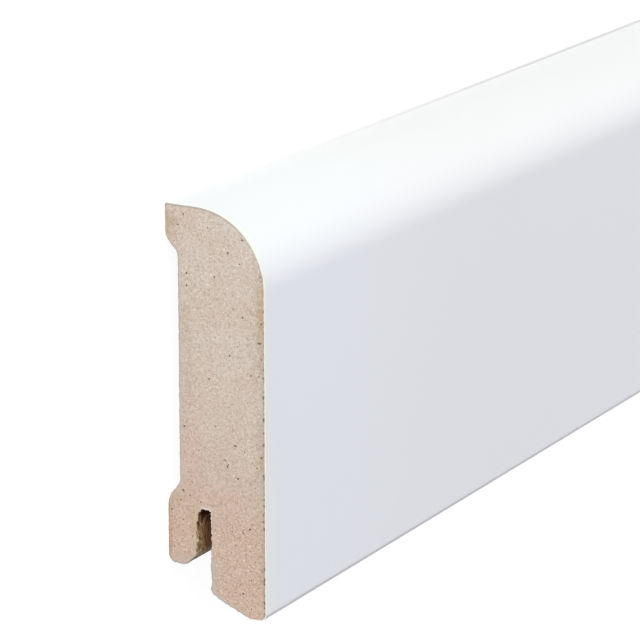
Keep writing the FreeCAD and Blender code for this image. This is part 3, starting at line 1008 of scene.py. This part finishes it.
def lacquered_foil():
    """White decor foil with a satin lacquer, wrapped hot: even and smooth, with the faint orange
    peel of the glue under it. The peel is drawn about 1.4 mm across. Painted light makes the white a
    touch lighter and cooler by the near end, and saw dust warms its last millimetres. A fine grey
    line runs beside the rear arris, fading in between 30 and 135 mm from the near end. Round the
    foot the foil is painted whiter where the arris starts to turn, and painted shade greys it where
    it turns under.
    Heights are from the middle of the board."""
    material, tree, place = new_finish("lacquered_foil")
    peel = add_node(tree, "TexNoise", Vector=place, Scale=1 / 1.4, Detail=2.0, Roughness=0.5)
    bump = add_node(tree, "Bump", Height=peel, Distance=0.012 * MM, Strength=0.5)
    wear = add_node(tree, "TexNoise", Vector=place, Scale=1 / 30.0, Detail=2.0)
    sheen = add_node(
        tree, "MapRange", {"clamp": True},
        Value=wear, From_Min=0.3, From_Max=0.7, To_Min=0.44, To_Max=0.48,
    )
    axes = add_node(tree, "SeparateXYZ", Vector=place).node.outputs
    near, foot = -LENGTH / 2, -HEIGHT / 2
    beside = add_node(tree, "Math", {"operation": "COMPARE"}, s0=axes["Z"], s1=1.1, s2=0.38)
    on_top = add_node(tree, "Math", {"operation": "GREATER_THAN"}, s0=axes["Y"], s1=HEIGHT / 2 - 1.0)
    line = add_node(tree, "Math", {"operation": "MULTIPLY"}, s0=beside, s1=on_top)
    grown = add_node(
        tree, "MapRange", {"clamp": True},
        Value=axes["X"], From_Min=near + 30.0, From_Max=near + 135.0,
    )
    line = add_node(tree, "Math", {"operation": "MULTIPLY"}, s0=line, s1=grown)
    # Painted light: a touch lighter and cooler white by the near end
    tone = tinted(tree, colour("#f5f6fb"), axes["X"], near + 15.0, near + 80.0, 1.0, "#f3f3f6")
    tone = tinted(tree, tone, "dust", 0.2, 1.0, 1.0, "#f8f9f4")
    tone = tinted(tree, tone, line, 0.0, 1.0, 1.0, "#d6d4da")
    # Painted light: whiter where the foot's arris starts to turn away
    tone = tinted(tree, tone, axes["Y"], foot + 1.4, foot + 1.05, 1.0, "#ffffff")
    # Painted shade: grey where the foil turns under the foot
    low = add_node(
        tree, "MapRange", {"clamp": True},
        Value=axes["Y"], From_Min=foot + 1.1, From_Max=foot + 0.8,
    )
    outer = add_node(tree, "Math", {"operation": "GREATER_THAN"}, s0=axes["Z"], s1=DEPTH - 1.1)
    arris = add_node(tree, "Math", {"operation": "MULTIPLY"}, s0=low, s1=outer)
    tone = tinted(tree, tone, arris, 0.0, 1.0, 1.0, "#e4e5e5")
    shader = add_node(
        tree, "BsdfPrincipled",
        Base_Color=tone, Roughness=sheen, IOR=1.5, Specular_IOR_Level=0.32, Normal=bump,
    )
    add_node(tree, "OutputMaterial", Surface=shader)
    return material


def foil_cut_edge():
    """The sawn edge of the foil: bare white paper and resin, matt and a little warmer. Round the top
    the saw left it grey with dust."""
    material, tree, place = new_finish("foil_cut_edge")
    worn = add_node(tree, "TexNoise", Vector=place, Scale=1 / 0.4, Detail=2.0)
    tone = tinted(tree, colour("#fdf9f0"), worn, 0.35, 0.7, 1.0, "#efe8da")
    height = add_node(tree, "SeparateXYZ", out="Y", Vector=place)
    tone = tinted(tree, tone, height, 24.0, 28.5, 1.0, "#c0b9b2")
    shader = add_node(tree, "BsdfPrincipled", Base_Color=tone, Roughness=0.8, Specular_IOR_Level=0.3)
    add_node(tree, "OutputMaterial", Surface=shader)
    return material


# Pieces

fibreboard = make_fibreboard(
    [sawn_fibreboard(), milled_fibreboard(), sanded_fibreboard(), rubbed_fibreboard(), torn_fibre()]
)
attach(fibreboard, "root")
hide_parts("mdf_core")

decor_foil = make_foil(lacquered_foil(), foil_cut_edge())
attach(decor_foil, "root")
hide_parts("foil_wrap")


# Floor, light and camera

def seen_directly(tree):
    """1 for what the camera, a reflection or clear glass sees, and 0 for light on its way."""
    path = add_node(tree, "LightPath").node.outputs
    seen = path["Is Camera Ray"]
    for other in (path["Is Glossy Ray"], path["Is Transmission Ray"]):
        seen = add_node(tree, "Math", {"operation": "MAXIMUM"}, s0=seen, s1=other)
    return seen


def studio_floor():
    """A pale floor just under the board. The camera and reflections see it as near white, and it keeps
    a soft shadow."""
    material, tree = new_finish("studio_floor")[:2]
    pale = add_node(tree, "BsdfDiffuse", Color=colour("#f3f3f3"))
    glow = add_node(tree, "Emission", Color=colour("#ffffff"), Strength=0.93)
    shade = add_node(tree, "BsdfDiffuse", Color=(0.19, 0.19, 0.19, 1.0))
    white = add_node(tree, "AddShader", s0=glow, s1=shade)
    mixed = add_node(tree, "MixShader", s0=seen_directly(tree), s1=pale, s2=white)
    add_node(tree, "OutputMaterial", Surface=mixed)
    mesh = bpy.data.meshes.new("floor")
    reach, under = 30.0, -0.0002
    corners = [(x * reach, y * reach, under) for x, y in ((-1, -1), (1, -1), (1, 1), (-1, 1))]
    mesh.from_pydata(corners, [], [(0, 1, 2, 3)])
    mesh.materials.append(material)
    floor = bpy.data.objects.new("floor", mesh)
    bpy.context.scene.collection.objects.link(floor)
    return floor


def softbox(name, place, aim, size, power, tint):
    """An area lamp at a place, facing a point, as wide and as tall as its size says."""
    light = bpy.data.lights.new(name, "AREA")
    light.shape = "RECTANGLE"
    light.size, light.size_y = size
    light.energy = power
    light.color = colour(tint)[:3]
    lamp = bpy.data.objects.new(name, light)
    back = np.array(place) - np.array(aim)
    back /= np.linalg.norm(back)
    side = np.cross((0.0, 0.0, 1.0), back)
    side /= np.linalg.norm(side)
    turn = Matrix(np.column_stack([side, np.cross(back, side), back]).tolist()).to_4x4()
    lamp.matrix_world = Matrix.Translation(place) @ turn
    bpy.context.scene.collection.objects.link(lamp)


studio_floor()

world = bpy.data.worlds.new("studio")
bpy.context.scene.world = world
world.use_nodes = True
sky = world.node_tree
sky.nodes.clear()
fill = add_node(sky, "Background", Color=colour("#e4e8ff"), Strength=0.335)
backdrop = add_node(sky, "Background", Color=colour("#ffffff"), Strength=1.0)
seen_sky = add_node(sky, "MixShader", s0=seen_directly(sky), s1=fill, s2=backdrop)
add_node(sky, "OutputWorld", Surface=seen_sky)

# Lamps that face the near end: direction, distance and size in metres, power in watts, and tint
near_end = np.array([-LENGTH / 2 * MM, 0.0, 0.0])
for name, way, away, size, power, tint in (
    ("key_softbox", (-0.468, 0.707, 0.53), 4.0, (3.0, 1.8), 95.5, "#fdffe6"),
    ("far_softbox", (0.78, 0.26, 0.57), 8.0, (6.4, 6.4), 233.0, "#fbfaff"),
    ("end_softbox", (-0.985, 0.12, 0.12), 4.0, (1.5, 1.5), 53.0, "#f8f5ff"),
):
    softbox(name, tuple(near_end + away * np.array(way)), tuple(near_end), size, power, tint)

# The camera as the photo's edges give it, in metres: its place, its directions and its lens in mm
CAMERA_AT = (-1.6540541, 0.1460722, 0.2611937)
CAMERA_RIGHT = (0.46154457, -0.00153031, 0.88711583)
CAMERA_UP = (0.21956240, 0.96908976, -0.11255803)
CAMERA_BACK = (-0.85952150, 0.24672798, 0.44761711)
FOCAL_LENGTH = 213.26606
SENSOR_WIDTH = 36.0

lens = bpy.data.cameras.new("camera")
lens.lens, lens.sensor_width = FOCAL_LENGTH, SENSOR_WIDTH
lens.clip_start, lens.clip_end = 0.01, 100.0
camera = bpy.data.objects.new("camera", lens)
turned = Matrix(np.column_stack([CAMERA_RIGHT, CAMERA_UP, CAMERA_BACK]).tolist()).to_4x4()
camera.matrix_world = Matrix.Translation(CAMERA_AT) @ turned
bpy.context.scene.collection.objects.link(camera)
bpy.context.scene.camera = camera
bpy.context.scene.view_settings.view_transform = "Standard"
